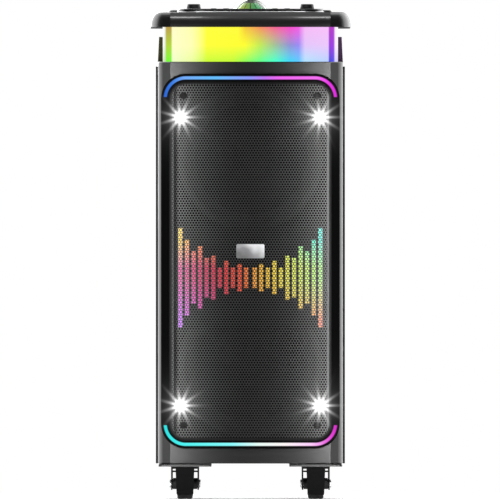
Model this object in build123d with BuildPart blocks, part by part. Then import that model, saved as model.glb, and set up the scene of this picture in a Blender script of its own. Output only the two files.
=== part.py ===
from build123d import *
import os
from math import atan2, cos, radians, sin

# Party speaker tower. Millimetres, +Z up, front towards -Y.
# The origin is on the floor, under the middle of the cabinet.

# --- driving dimensions -------------------------------------------------------
# cabinet
body_half_width = 166.5
body_half_depth = 150.0
body_height = 722.0
crease_inset = 22.5  # from the side to the edge of the flat front
chamfer_end_inset = 8.5  # from the side to where the chamfer turns into the round edge
body_chamfer = 16.0  # how far back the chamfer goes
rear_radius = 24.0
front_wall = 20.0
shell_chamfer = 1.2
wall = 6.0
opening_side = 28.5
opening_foot = 44.0
opening_head = 39.0
opening_corner = 20.0
rear_opening_side = 36.5
rear_opening_margin = 46.0
cable_hole_radius = 20.0

# light band and lid
band_height = 62.3
lid_height = 26.9
lid_overhang = 13.5
lid_chamfer = 10.0
lid_round = 15.5  # the rim is a quarter ellipse, this wide and as high as the lid
lid_steps = 8
lid_plate = 4.2
hollow_front = 34.0  # from the cabinet's front to the hollow under the lid
band_inset = 9.0
band_wall = 3.0
band_crease_inset = 25.5
band_chamfer_inset = 15.5
band_chamfer = 9.0
core_side_gap = 33.5
core_front_gap = 22.0
core_back_gap = 6.0
core_wall = 4.0
core_corner = 20.0

# control deck
deck_thick = 6.3
deck_side = 35.5
deck_front_inset = 22.0
deck_back_inset = 62.0
deck_corner = 40.0
deck_edge = 2.0
knob_from_side = 29.0
knob_from_front = 56.0
knob_radius = 13.0
knob_top_radius = 11.3
knob_height = 8.5
knob_lift = 0.3
knob_roof = 2.0
knob_flutes = 20
flute_radius = 1.3
flute_outside = 0.6  # of the knob's foot circle, where the flutes' centres lie
shaft_radius = 3.0
shaft_hole_radius = 7.0
encoder_size = 14.0
encoder_height = 9.0
button_names = ("button_play", "button_mode", "button_lights", "button_echo")
button_from_front = 44.0
button_from_knob = 36.0
button_pitch = 22.0
button_radius = 5.0
button_travel = 1.0
button_proud = 1.2
window_side = 10.0
window_depth = 26.0
board_thick = 1.6
switch_size = 6.0
switch_height = 3.2

# lamp dome
dome_radius = 30.5
dome_height = 18.5
dome_wall = 1.5
dome_core_radius = 10.4
drum_gap = 2.2
motor_radius = 12.0
motor_length = 20.0
motor_shaft = 1.5
motor_shaft_reach = 7.5
motor_shaft_gap = 0.5

# trolley handle
grip_side = 19.5
grip_from_back = 32.0
grip_depth = 20.0
grip_height = 12.5
grip_edge = 4.0
tube_from_grip_end = 25.0
handle_travel = 280.0
tube_rest = 100.0  # length of tube that stays in its sleeve when the handle is out
tube_radius = 8.0
tube_wall = 1.5
sleeve_wall = 3.0
finger_half_width = 62.0
finger_depth = 13.5
finger_reach = 26.0  # each way from the grip's middle line
release_length = 34.0
release_width = 9.0
release_pocket = 7.0
release_travel = 3.0

# front: bezel, lights, grille
bezel_depth = 8.0
bezel_line_side = 13.5
bezel_line_foot = 34.6
bezel_line_head = 29.1
bezel_line_corner = 37.0
bezel_outside = 7.5
bezel_inside = 5.8
guide_width = 6.3
guide_depth = 4.0
guide_proud = 0.6
guide_leg = 35.0  # straight leg below or above each corner's end
grille_sheet = 1.2
grille_setback = 2.0
screw_side = 33.0  # screws and strobes: distances inside the light line
screw_foot = 34.1
screw_head = 32.0
screw_head_radius = 6.3
screw_head_chamfer = 0.8
screw_shank_radius = 2.5
screw_socket_radius = 3.2
screw_socket_depth = 1.4
strobe_side = 27.5
strobe_foot = 69.4
strobe_head = 70.9
strobe_radius = 9.0
strobe_round = 2.5
wave_drop = 29.75
wave_side = 17.7
wave_first = 7.7
wave_bar_width = 7.4
wave_bar_thick = 2.0
wave_half_heights = (18.4, 24.4, 18.4, 30.0, 18.4, 39.4, 35.4, 56.0, 47.2, 67.8, 89.0)
wave_board_depth = 2.0
wave_board_margin = 3.0
wave_post_radius = 4.0
wave_post_side = 14.4
badge_width = 50.6
badge_height = 25.5
badge_rise = 17.75
badge_thick = 1.6
badge_corner = 3.0
badge_round = 0.6

# drivers
baffle_thick = 12.0
woofer_names = ("lower", "upper")
woofer_side = 8.0
woofer_foot = 2.0
driver_gap = 14.0
woofer_rim = 12.0
woofer_flange = 4.0
woofer_depth = 66.0
surround_width = 18.0
magnet_radius = 60.0
magnet_length = 34.0
magnet_gap_depth = 22.0
coil_radius = 19.0
coil_reach = 14.0
cone_back = 46.0
cap_radius = 32.0
tweeter_drop = 1.5
tweeter_radius = 42.0
tweeter_rim = 8.0
tweeter_body_radius = 30.0
tweeter_body_length = 52.0
horn_depth = 18.0

# rear
cover_thick = 4.0
cover_lip = 15.0
cover_corner = 12.0
cover_edge = 2.0
cutout_gap = 1.0  # round each socket in the cover
post_length = 24.0
post_radius = 4.0
post_x = 50.0
post_low = 190.0  # rear heights: distances below the panel's top edge
post_high = 50.0
panel_head = 96.0
panel_half_width = 70.0
panel_height = 220.0
panel_corner = 6.0
panel_thick = 2.0
jack_drop = 40.0
jack_pitch = 40.0
jack_radius = 3.25
jack_length = 15.0
jack_barrel_radius = 8.0
jack_floor = 3.0
socket_proud = 1.0
inlet_drop = 180.0
inlet_width = 28.0
inlet_height = 22.0
inlet_length = 20.0
inlet_wall = 4.0
inlet_mouth_height = 12.0
inlet_pin_x = 4.5
inlet_pin_radius = 1.2
inlet_pin_depth = 5.5
rocker_drop = 130.0
rocker_angle = 8.0  # either way from level
rocker_length = 13.6
rocker_width = 19.0
rocker_pivot = 2.5  # below the panel's face
rocker_thick = 3.0
rocker_room = 2.4
amplifier_drop = 120.0
amplifier_width = 130.0
amplifier_height = 180.0
sink_drop = 90.0
sink_width = 80.0
sink_height = 70.0
sink_base = 5.0
sink_fins = 9
sink_fin_pitch = 8.0
sink_fin_thick = 2.0
sink_fin_depth = 12.0
supply_from_back = 28.0
supply_size = (120.0, 60.0, 45.0)
battery_gap = 12.0
battery_size = (160.0, 80.0, 66.0)

# trims
trim_thick = 3.5
trim_end = 42.0  # from the cabinet's front and back
trim_head = 8.4
trim_edge = 2.5
fin_end = 50.0
fin_height = 45.0
fin_foot = 8.8
fin_tip = 6.6

# casters
caster_names = ("front_left", "front_right", "rear_left", "rear_right")
caster_spots = ((-1, -1), (1, -1), (-1, 1), (1, 1))
plate_side = 1.4
plate_end = 2.5
plate_size = 95.0
plate_thick = 3.0
plate_corner = 6.0
pad_size = 66.0
pad_height = 2.6
swivel_gap = 0.5
trail = 18.0
wheel_radius = 26.8
wheel_width = 28.0
wheel_round = 4.0
wheel_rim = 6.0
wheel_dish = 3.0
wheel_top_gap = 0.8
hub_radius = 9.0
hub_gap = 0.5
leg_outer = 25.0
leg_thick = 2.5
fork_back = 20.0
fork_nose = 22.0
fork_plate = 3.5
axle_radius = 3.0
bolt_radius = 6.0
bolt_head = 2.5
pin_radius = 5.0
pin_reach = 0.5
pin_end_gap = 0.7
lever_top_width = 34.0
lever_low_width = 30.0
lever_thick = 3.0
lever_low = 8.0
lever_top_gap = 0.6  # below the fork's top
lever_gap = 3.7  # from the wheel's tread
lever_pin_back = 7.5
lever_pin_drop = 7.9
lever_pin_radius = 1.5
lever_barrel = 4.0

# clearances
running = 0.05  # shaft in its hole
loose = 0.3  # cap in its opening
seat = 0.1  # snug pieces of one assembly

# --- places worked out from the sizes -----------------------------------------
fork_top = 2 * wheel_radius + wheel_top_gap + fork_plate
body_bottom = fork_top + swivel_gap + plate_thick + pad_height
body_top = body_bottom + body_height
lid_bottom = body_top + band_height
lid_top = lid_bottom + lid_height
deck_top = lid_top + deck_thick
front_face = -body_half_depth

crease_half = body_half_width - crease_inset
chamfer_end_x = body_half_width - chamfer_end_inset
cavity_half_width = body_half_width - wall
cavity_top = body_top - wall
cavity_bottom = body_bottom + wall
opening_half_width = body_half_width - opening_side
opening_bottom = body_bottom + opening_foot
opening_top = body_top - opening_head
opening_middle = (opening_bottom + opening_top) / 2
rear_opening_half_width = body_half_width - rear_opening_side
baffle_front = front_face + front_wall

bezel_line_half = body_half_width - bezel_line_side
bezel_line_bottom = body_bottom + bezel_line_foot
bezel_line_top = body_top - bezel_line_head
bezel_middle = (bezel_line_bottom + bezel_line_top) / 2
grille_face = front_face - bezel_depth + grille_setback
grille_half = bezel_line_half - bezel_inside - seat
screw_xs = (screw_side - bezel_line_half, bezel_line_half - screw_side)
screw_zs = (bezel_line_bottom + screw_foot, bezel_line_top - screw_head)
screw_spots = [(x, z) for x in screw_xs for z in screw_zs]
strobe_xs = (strobe_side - bezel_line_half, bezel_line_half - strobe_side)
strobe_zs = (bezel_line_bottom + strobe_foot, bezel_line_top - strobe_head)
strobe_spots = [(x, z) for x in strobe_xs for z in strobe_zs]
wave_z = bezel_middle - wave_drop
wave_half_width = grille_half - wave_side
wave_pitch = (wave_half_width - wave_bar_width / 2 - wave_first) / (len(wave_half_heights) - 1)
wave_board_y = front_face + wave_board_depth
wave_post_xs = (tweeter_radius + tweeter_rim, wave_half_width - wave_post_side)
badge_z = bezel_middle + badge_rise

tweeter_z = opening_middle - tweeter_drop
widest_woofer = opening_half_width - woofer_side
tallest_woofer = (tweeter_z - tweeter_radius - driver_gap - opening_bottom - woofer_foot) / 2
woofer_radius = min(widest_woofer, tallest_woofer)
woofer_spacing = tweeter_radius + driver_gap + woofer_radius
woofer_zs = (tweeter_z - woofer_spacing, tweeter_z + woofer_spacing)
woofer_cutout = woofer_radius - woofer_rim
cone_radius = woofer_cutout - surround_width

band_half_width = body_half_width - band_inset
band_back = body_half_depth - band_inset
core_half_width = band_half_width - core_side_gap
deck_half_width = body_half_width - deck_side
deck_front = front_face + deck_front_inset
deck_back = body_half_depth - deck_back_inset
dome_y = (deck_front + deck_back) / 2
knob_x = deck_half_width - knob_from_side
knob_y = deck_front + knob_from_front
knob_bottom = deck_top + knob_lift
button_y = deck_front + button_from_front
button_reach = knob_x - button_from_knob
button_xs = (-button_reach, button_pitch - button_reach, button_reach - button_pitch, button_reach)
button_hole = button_radius + loose
board_z = lid_top - lid_plate

grip_half_length = body_half_width - grip_side
handle_x = grip_half_length - tube_from_grip_end
handle_y = body_half_depth - grip_from_back
sleeve_radius = tube_radius + sleeve_wall
grip_bottom = deck_top - grip_height
sleeve_top = grip_bottom - loose
sleeve_bottom = grip_bottom - handle_travel - tube_rest
finger_floor = grip_bottom - finger_depth

cover_face = body_half_depth + cover_thick
cover_bottom = body_bottom + rear_opening_margin - cover_lip
cover_top = body_top - rear_opening_margin + cover_lip
panel_face = cover_face + panel_thick
socket_face = panel_face + socket_proud
panel_top = body_top - panel_head
jack_z = panel_top - jack_drop
jack_spots = ((-jack_pitch, jack_z), (0, jack_z), (jack_pitch, jack_z))
inlet_z = panel_top - inlet_drop
rocker_z = panel_top - rocker_drop
post_spots = [(x, panel_top - drop) for x in (-post_x, post_x) for drop in (post_low, post_high)]

caster_x = body_half_width - plate_size / 2 - plate_side
caster_y = body_half_depth - plate_size / 2 - plate_end
lever_face = -trail - wheel_radius - lever_gap
lever_pin_y = lever_face + lever_pin_back
lever_pin_z = fork_top - lever_pin_drop

os.makedirs("parts", exist_ok=True)


def save(piece, name):
    """Label one finished piece and write its file."""
    piece.label = name
    export_step(piece, f"parts/{name}.step")


def plan(inset, crease_x, chamfer_x, chamfer_depth, rear_corner):
    """Plan outline: flat front, a chamfer from each crease, round edges and round rear corners."""
    half_width = body_half_width - inset
    half_depth = body_half_depth - inset
    slope = atan2(chamfer_depth, chamfer_x - crease_x)
    edge_radius = (half_width - chamfer_x) / (1 - sin(slope))
    chamfer_end = (chamfer_x, chamfer_depth - half_depth)
    edge_end = (half_width, chamfer_end[1] + edge_radius * cos(slope))
    with BuildSketch() as outline:
        with BuildLine():
            Line((0, -half_depth), (crease_x, -half_depth))
            Line((crease_x, -half_depth), chamfer_end)
            TangentArc(chamfer_end, edge_end, tangent=(cos(slope), sin(slope)))
            Line(edge_end, (half_width, half_depth - rear_corner))
            RadiusArc(
                (half_width, half_depth - rear_corner), (half_width - rear_corner, half_depth), -rear_corner
            )
            Line((half_width - rear_corner, half_depth), (0, half_depth))
            mirror(about=Plane.YZ)
        make_face()
    return outline.sketch


def body_plan():
    """The cabinet's outline."""
    return plan(0, crease_half, chamfer_end_x, body_chamfer, rear_radius)


def lid_plan(inset):
    """The lid's outline, a given distance inside its rim."""
    return plan(inset - lid_overhang, crease_half, chamfer_end_x, lid_chamfer, rear_radius + lid_overhang)


def band_plan():
    """The light band's outline."""
    crease_x = body_half_width - band_crease_inset
    chamfer_x = body_half_width - band_chamfer_inset
    return plan(band_inset, crease_x, chamfer_x, band_chamfer, rear_radius - band_inset / 2)


def box_between(low, high):
    """A plain block between two corners."""
    size = [top - bottom for bottom, top in zip(low, high)]
    middle = [(top + bottom) / 2 for bottom, top in zip(low, high)]
    with BuildPart() as block:
        with Locations(tuple(middle)):
            Box(*size)
    return block.part


def front_plane(y):
    """Plane facing the front at a given depth: sketch X is +X and sketch Y is +Z."""
    return Plane(origin=(0, y, 0), x_dir=(1, 0, 0), z_dir=(0, -1, 0))


# --- cabinet ------------------------------------------------------------------
def make_cabinet():
    """Moulded shell, open at the front for the drivers and at the back for service."""
    with BuildPart() as cabinet:
        with BuildSketch(Plane.XY.offset(body_bottom)):
            add(body_plan())
        extrude(amount=body_top - body_bottom)
        chamfer(cabinet.faces().sort_by(Axis.Z)[-1].edges(), shell_chamfer)
        chamfer(cabinet.faces().sort_by(Axis.Z)[0].edges(), shell_chamfer)
        depth = body_half_depth - wall - baffle_front
        with BuildSketch(Plane.XY.offset(cavity_bottom)):
            with Locations((0, baffle_front + depth / 2)):
                Rectangle(2 * cavity_half_width, depth)
            fillet(vertices().group_by(Axis.Y)[-1], rear_radius - wall)
        extrude(amount=cavity_top - cavity_bottom, mode=Mode.SUBTRACT)
        with BuildSketch(front_plane(front_face)):
            with Locations((0, opening_middle)):
                RectangleRounded(2 * opening_half_width, opening_top - opening_bottom, opening_corner)
        extrude(amount=-front_wall, mode=Mode.SUBTRACT)
        with BuildSketch(front_plane(body_half_depth)):
            with Locations((0, (body_bottom + body_top) / 2)):
                Rectangle(
                    2 * rear_opening_half_width, body_top - body_bottom - 2 * rear_opening_margin
                )
        extrude(amount=wall, mode=Mode.SUBTRACT)
        with Locations((-handle_x, handle_y, body_top), (handle_x, handle_y, body_top)):
            Hole(sleeve_radius + seat, 2 * wall)
        with BuildSketch(Plane.XY.offset(body_top)):
            with Locations((0, dome_y)):
                Circle(cable_hole_radius)
        extrude(amount=-wall, mode=Mode.SUBTRACT)
    return cabinet.part


def make_baffle():
    """Board that carries the drivers, with posts for the grille screws and the light board."""
    posts = [(side * x, tweeter_z) for side in (-1, 1) for x in wave_post_xs]
    with BuildPart() as baffle:
        with BuildSketch(front_plane(baffle_front + baffle_thick)):
            with Locations((0, (cavity_bottom + cavity_top) / 2)):
                Rectangle(2 * (cavity_half_width - loose), cavity_top - cavity_bottom - 2 * loose)
            with Locations(*[(0, z) for z in woofer_zs]):
                Circle(woofer_cutout, mode=Mode.SUBTRACT)
            with Locations((0, tweeter_z)):
                Circle(tweeter_radius - tweeter_rim, mode=Mode.SUBTRACT)
        extrude(amount=baffle_thick)
        with BuildSketch(front_plane(baffle_front)):
            with Locations(*screw_spots):
                Circle(screw_head_radius)
        extrude(amount=baffle_front - grille_face - grille_sheet - seat)
        with BuildSketch(front_plane(baffle_front)):
            with Locations(*posts):
                Circle(wave_post_radius)
        extrude(amount=baffle_front - wave_board_y)
        with BuildSketch(front_plane(baffle_front + baffle_thick)):
            with Locations(*screw_spots):
                Circle(screw_shank_radius + seat)
        extrude(amount=2 * front_wall + baffle_thick, mode=Mode.SUBTRACT)
    return baffle.part


def make_rear_cover():
    """Service cover with a lip that registers in the rear opening and posts for the amplifier."""
    with BuildPart() as cover:
        with BuildSketch(front_plane(cover_face)):
            with Locations((0, (cover_bottom + cover_top) / 2)):
                RectangleRounded(
                    2 * (rear_opening_half_width + cover_lip), cover_top - cover_bottom, cover_corner
                )
        extrude(amount=cover_thick)
        fillet(cover.faces().sort_by(Axis.Y)[-1].edges(), cover_edge)
        with BuildSketch(front_plane(body_half_depth)):
            with Locations((0, (body_bottom + body_top) / 2)):
                Rectangle(
                    2 * (rear_opening_half_width - loose),
                    body_top - body_bottom - 2 * (rear_opening_margin + loose),
                )
                Rectangle(
                    2 * (rear_opening_half_width - wall),
                    body_top - body_bottom - 2 * (rear_opening_margin + wall),
                    mode=Mode.SUBTRACT,
                )
        extrude(amount=wall)
        with BuildSketch(front_plane(body_half_depth)):
            with Locations(*post_spots):
                Circle(post_radius)
        extrude(amount=post_length)
        with BuildSketch(front_plane(cover_face)):
            with Locations(*jack_spots):
                Circle(jack_barrel_radius + cutout_gap)
            with Locations((0, inlet_z)):
                Rectangle(inlet_width + 2 * cutout_gap, inlet_height + 2 * cutout_gap)
            with Locations((0, rocker_z)):
                Rectangle(rocker_width + 2 * rocker_room, rocker_length + 2 * rocker_room)
        extrude(amount=cover_thick, mode=Mode.SUBTRACT)
    return cover.part


save(make_cabinet(), "cabinet_shell")
save(make_baffle(), "front_baffle")
save(make_rear_cover(), "rear_cover")


# --- bezel frame and light guides ----------------------------------------------
def bezel_loop(outside):
    """Rounded rectangle a given distance outside the light line."""
    height = bezel_line_top - bezel_line_bottom
    with BuildSketch() as loop:
        with Locations((0, (bezel_line_top + bezel_line_bottom) / 2)):
            RectangleRounded(
                2 * (bezel_line_half + outside), height + 2 * outside, bezel_line_corner + outside
            )
    return loop.sketch


def guide_sketch(top, width):
    """U-shaped strip on the light line: the end that lies across, two corners and two legs."""
    if top:
        low = bezel_line_top - guide_leg
        high = bezel_line_top + width
    else:
        low = bezel_line_bottom - width
        high = bezel_line_bottom + guide_leg
    low -= width - guide_width
    high += width - guide_width
    with BuildSketch() as strip:
        add(bezel_loop(width / 2))
        add(bezel_loop(-width / 2), mode=Mode.SUBTRACT)
        with Locations((0, (low + high) / 2)):
            Rectangle(3 * bezel_line_half, high - low, mode=Mode.INTERSECT)
    return strip.sketch


def make_bezel():
    """Black frame that stands on the front face, grooved for the two light guides."""
    with BuildPart() as bezel:
        with BuildSketch(front_plane(front_face)):
            add(bezel_loop(bezel_outside))
            add(bezel_loop(-bezel_inside), mode=Mode.SUBTRACT)
        extrude(amount=bezel_depth)
        with BuildSketch(front_plane(front_face - bezel_depth)):
            add(guide_sketch(True, guide_width + 2 * seat))
            add(guide_sketch(False, guide_width + 2 * seat))
        extrude(amount=-guide_depth, mode=Mode.SUBTRACT)
    return bezel.part


def make_guide(top):
    """Clear light guide that fills its groove and stands a little proud of the frame."""
    with BuildPart() as guide:
        with BuildSketch(front_plane(front_face - bezel_depth + guide_depth)):
            add(guide_sketch(top, guide_width))
        extrude(amount=guide_depth + guide_proud)
    return guide.part


save(make_bezel(), "bezel_frame")
save(make_guide(True), "light_guide_top")
save(make_guide(False), "light_guide_bottom")


# --- grille, its screws, strobe lamps, light wave and badge ----------------------
def make_grille():
    """Sheet pan whose folded rim stands on the front face inside the bezel."""
    rim = bezel_inside + seat
    with BuildPart() as grille:
        with BuildSketch(front_plane(grille_face + grille_sheet)):
            add(bezel_loop(-rim))
        extrude(amount=grille_sheet)
        with BuildSketch(front_plane(front_face)):
            add(bezel_loop(-rim))
            add(bezel_loop(-rim - grille_sheet), mode=Mode.SUBTRACT)
        extrude(amount=front_face - grille_face - grille_sheet)
        with BuildSketch(front_plane(grille_face)):
            with Locations(*screw_spots):
                Circle(screw_shank_radius + seat)
            with Locations(*strobe_spots):
                Circle(strobe_radius + loose)
        extrude(amount=-grille_sheet, mode=Mode.SUBTRACT)
    return grille.part


def make_screws():
    """Four screws with round heads on the grille and shanks in the baffle's posts."""
    with BuildPart() as screws:
        with BuildSketch(front_plane(grille_face)):
            with Locations(*screw_spots):
                Circle(screw_head_radius)
        extrude(amount=grille_setback)
        chamfer(screws.edges().group_by(Axis.Y)[0], screw_head_chamfer)
        with BuildSketch(front_plane(grille_face)):
            with Locations(*screw_spots):
                Circle(screw_shank_radius)
        extrude(amount=-front_wall)
        with BuildSketch(front_plane(grille_face - grille_setback)):
            with Locations(*screw_spots):
                RegularPolygon(screw_socket_radius, 6)
        extrude(amount=-screw_socket_depth, mode=Mode.SUBTRACT)
    return screws.part


def make_strobes():
    """Four lamp cups on the baffle, each with a domed lens that looks out through the grille."""
    with BuildPart() as strobes:
        with BuildSketch(front_plane(baffle_front)):
            with Locations(*strobe_spots):
                Circle(strobe_radius)
        extrude(amount=baffle_front - grille_face)
        fillet(strobes.edges().group_by(Axis.Y)[0], strobe_round)
    return strobes.part


def make_wave_board():
    """Carrier plate of the light wave, on four posts of the baffle."""
    width = 2 * (wave_half_width + 1)
    height = 2 * (wave_half_heights[-1] + wave_board_margin)
    with BuildPart() as board:
        with BuildSketch(front_plane(wave_board_y)):
            with Locations((0, wave_z)):
                Rectangle(width, height)
        extrude(amount=board_thick)
    return board.part


def make_wave_bars():
    """Twenty-two light bars, whose heights draw a wave that narrows to the middle."""
    with BuildPart() as bars:
        with BuildSketch(front_plane(wave_board_y - board_thick)):
            for step, half_height in enumerate(wave_half_heights):
                x = wave_first + wave_pitch * step
                with Locations((-x, wave_z), (x, wave_z)):
                    Rectangle(wave_bar_width, 2 * half_height)
        extrude(amount=wave_bar_thick)
    return bars.part


def make_badge():
    """Blank plate on the grille."""
    with BuildPart() as badge:
        with BuildSketch(front_plane(grille_face)):
            with Locations((0, badge_z)):
                RectangleRounded(badge_width, badge_height, badge_corner)
        extrude(amount=badge_thick)
        fillet(badge.edges().group_by(Axis.Y)[0], badge_round)
    return badge.part


save(make_grille(), "grille_panel")
save(make_screws(), "grille_screws")
save(make_strobes(), "strobe_lamps")
save(make_wave_board(), "wave_board")
save(make_wave_bars(), "wave_light_bars")
save(make_badge(), "badge_plate")


# --- drivers: every profile is (radius, depth behind the baffle's front) ---------
def turned(points, centre_z):
    """Solid turned about a driver's axis, which runs straight back from the baffle."""
    axis_plane = Plane(origin=(0, baffle_front, centre_z), x_dir=(1, 0, 0), z_dir=(0, 0, 1))
    with BuildPart() as solid:
        with BuildSketch(axis_plane):
            with BuildLine():
                Polyline(*points, close=True)
            make_face()
        revolve(axis=Axis((0, baffle_front, centre_z), (0, 1, 0)))
    return solid.part


flange = woofer_flange
neck = coil_radius + 1
basket_profile = [
    (woofer_radius, -flange),
    (woofer_radius, 0),
    (woofer_cutout - 1, 0),
    (magnet_radius - 8, woofer_depth),
    (magnet_radius - 8, woofer_depth + flange),
    (neck, woofer_depth + flange),
    (neck, woofer_depth + 2),
    (magnet_radius - 12, woofer_depth + 2),
    (woofer_cutout - 5, -1),
    (woofer_cutout - 5, -flange),
]
magnet_front = woofer_depth + flange
magnet_profile = [
    (magnet_radius, magnet_front),
    (magnet_radius, magnet_front + magnet_length),
    (0, magnet_front + magnet_length),
    (0, magnet_front),
    (coil_radius - 2.5, magnet_front),
    (coil_radius - 2.5, magnet_front + magnet_gap_depth),
    (neck, magnet_front + magnet_gap_depth),
    (neck, magnet_front),
]
surround_inner = cone_radius + 0.4
surround_profile = [
    (woofer_cutout, -flange),
    (woofer_cutout, -flange - 1.2),
    (woofer_cutout - 4, -flange - 3.5),
    (woofer_cutout - 9, -flange - 4.5),
    (woofer_cutout - 14, -flange - 3.5),
    (surround_inner, -flange),
    (surround_inner, -flange + 1.2),
    (woofer_cutout - 9, -flange - 3.3),
    (woofer_cutout - 5, -flange),
]
cone_profile = [
    (cone_radius, -flange),
    (cone_radius, -flange + 2),
    (coil_radius, cone_back),
    (coil_radius, magnet_front + coil_reach),
    (coil_radius - 1, magnet_front + coil_reach),
    (coil_radius - 1, cone_back - 2),
    (cone_radius - 3, -flange),
]
cone_slope = (cone_back - 2 + flange) / (cone_radius - 2 - coil_radius)
cap_back = (cone_radius - 3 - cap_radius) * cone_slope - flange - seat
cap_profile = [
    (0, cap_back - 12),
    (cap_radius * 0.6, cap_back - 9),
    (cap_radius, cap_back - 1),
    (cap_radius, cap_back),
    (cap_radius * 0.6, cap_back - 7.5),
    (0, cap_back - 10.5),
]
tweeter_profile = [
    (tweeter_radius, -3),
    (tweeter_radius, 0),
    (tweeter_radius - 9, 0),
    (tweeter_body_radius - 8, horn_depth),
    (tweeter_body_radius, horn_depth),
    (tweeter_body_radius, tweeter_body_length),
    (0, tweeter_body_length),
    (0, horn_depth - 4),
    (tweeter_body_radius - 20, horn_depth - 4),
    (tweeter_radius - 12, -3),
]

for base_name, profile in (
    ("woofer_baskets", basket_profile),
    ("woofer_magnets", magnet_profile),
    ("woofer_surrounds", surround_profile),
):
    save(Compound([turned(profile, z).solid() for z in woofer_zs]), base_name)
for name, z in zip(woofer_names, woofer_zs):
    cone_and_cap = [turned(cone_profile, z).solid(), turned(cap_profile, z).solid()]
    save(Compound(cone_and_cap), f"woofer_cone_{name}")
save(turned(tweeter_profile, tweeter_z), "tweeter_horn")


# --- light band, lid and side fins ----------------------------------------------
def make_band():
    """Clear wall that carries the lid and glows all round."""
    with BuildPart() as band:
        with BuildSketch(Plane.XY.offset(body_top)):
            add(band_plan())
            offset(band_plan(), -band_wall, mode=Mode.SUBTRACT)
        extrude(amount=band_height)
    return band.part


def make_light_core():
    """White box inside the band, with light strips on its outside."""
    depth_front = band_back - core_front_gap
    depth_back = handle_y - sleeve_radius - core_back_gap
    with BuildPart() as core:
        with BuildSketch(Plane.XY.offset(body_top)):
            with Locations((0, (depth_back - depth_front) / 2)):
                RectangleRounded(2 * core_half_width, depth_front + depth_back, core_corner)
                RectangleRounded(
                    2 * (core_half_width - core_wall), depth_front + depth_back - 2 * core_wall,
                    core_corner - core_wall, mode=Mode.SUBTRACT,
                )
        extrude(amount=band_height)
    return core.part


def make_lid():
    """Mushroom lid, hollow below its front part, with the handle's pocket at the back."""
    with BuildPart() as lid:
        for step in range(lid_steps + 1):
            turn = radians(90 * step / lid_steps)
            rise = lid_height * sin(turn)
            with BuildSketch(Plane.XY.offset(lid_bottom + rise)):
                add(lid_plan(lid_round * (1 - cos(turn))))
        loft()
        front = front_face + hollow_front
        back = deck_back - 2
        with Locations((0, (front + back) / 2, lid_bottom)):
            Box(
                2 * (core_half_width - core_wall - 2), back - front,
                2 * (board_z - lid_bottom), mode=Mode.SUBTRACT,
            )
        with BuildSketch(Plane.XY.offset(lid_top)):
            with Locations((0, handle_y)):
                Rectangle(2 * (grip_half_length + loose + 1), grip_depth + 2 * (loose + 1))
        extrude(amount=-(lid_top - grip_bottom + loose), mode=Mode.SUBTRACT)
        with BuildSketch(Plane.XY.offset(lid_top)):
            with Locations((0, handle_y)):
                Rectangle(2 * finger_half_width, 2 * finger_reach)
        extrude(amount=-(lid_top - finger_floor), mode=Mode.SUBTRACT)
        with Locations((-handle_x, handle_y, lid_top), (handle_x, handle_y, lid_top)):
            Hole(sleeve_radius + seat)
        with BuildSketch(Plane.XY.offset(lid_top)):
            with Locations((0, button_y)):
                Rectangle(2 * (button_reach + window_side), window_depth)
            with Locations((0, dome_y)):
                Circle(motor_shaft + motor_shaft_gap)
            with Locations((-knob_x, knob_y), (knob_x, knob_y)):
                Circle(shaft_hole_radius)
        extrude(amount=-lid_plate, mode=Mode.SUBTRACT)
    return lid.part


def make_fins():
    """Two tapered plates that stand beside the band on the cabinet's top."""
    root_x = band_half_width + seat
    half_depth = body_half_depth - fin_end
    fin_top = body_top + fin_height
    with BuildPart() as fins:
        with BuildSketch(front_plane(half_depth)):
            with BuildLine():
                Polyline(
                    (root_x, body_top),
                    (root_x + fin_foot, body_top),
                    (root_x + fin_tip, fin_top),
                    (root_x, fin_top),
                    close=True,
                )
            make_face()
            mirror(about=Plane.YZ)
        extrude(amount=2 * half_depth)
    return fins.part


def make_side_trims():
    """Two dark strips on the cabinet's sides."""
    height = body_height - trim_head
    half_depth = body_half_depth - trim_end
    with BuildPart() as trims:
        for side in (-1, 1):
            with Locations((side * (body_half_width + trim_thick / 2), 0, body_bottom + height / 2)):
                Box(trim_thick, 2 * half_depth, height)
        outer = trims.edges().filter_by(Axis.Z).group_by(lambda edge: round(abs(edge.center().X), 3))[-1]
        fillet(outer, trim_edge)
    return trims.part


save(make_band(), "light_band")
save(make_light_core(), "band_light_core")
save(make_lid(), "lid")
save(make_fins(), "side_fins")
save(make_side_trims(), "side_trims")


# --- control deck -----------------------------------------------------------------
def make_deck():
    """Raised top plate with holes for the buttons, knobs and the lamp's shaft."""
    with BuildPart() as deck:
        with BuildSketch(Plane.XY.offset(lid_top)):
            with Locations((0, (deck_front + deck_back) / 2)):
                RectangleRounded(2 * deck_half_width, deck_back - deck_front, deck_corner)
        extrude(amount=deck_thick)
        fillet(deck.faces().sort_by(Axis.Z)[-1].edges(), deck_edge)
        with BuildSketch(Plane.XY.offset(deck_top)):
            with Locations(*[(x, button_y) for x in button_xs]):
                Circle(button_hole)
            with Locations((-knob_x, knob_y), (knob_x, knob_y)):
                Circle(shaft_hole_radius)
            with Locations((0, dome_y)):
                Circle(motor_shaft + motor_shaft_gap)
        extrude(amount=-deck_thick, mode=Mode.SUBTRACT)
    return deck.part


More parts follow.
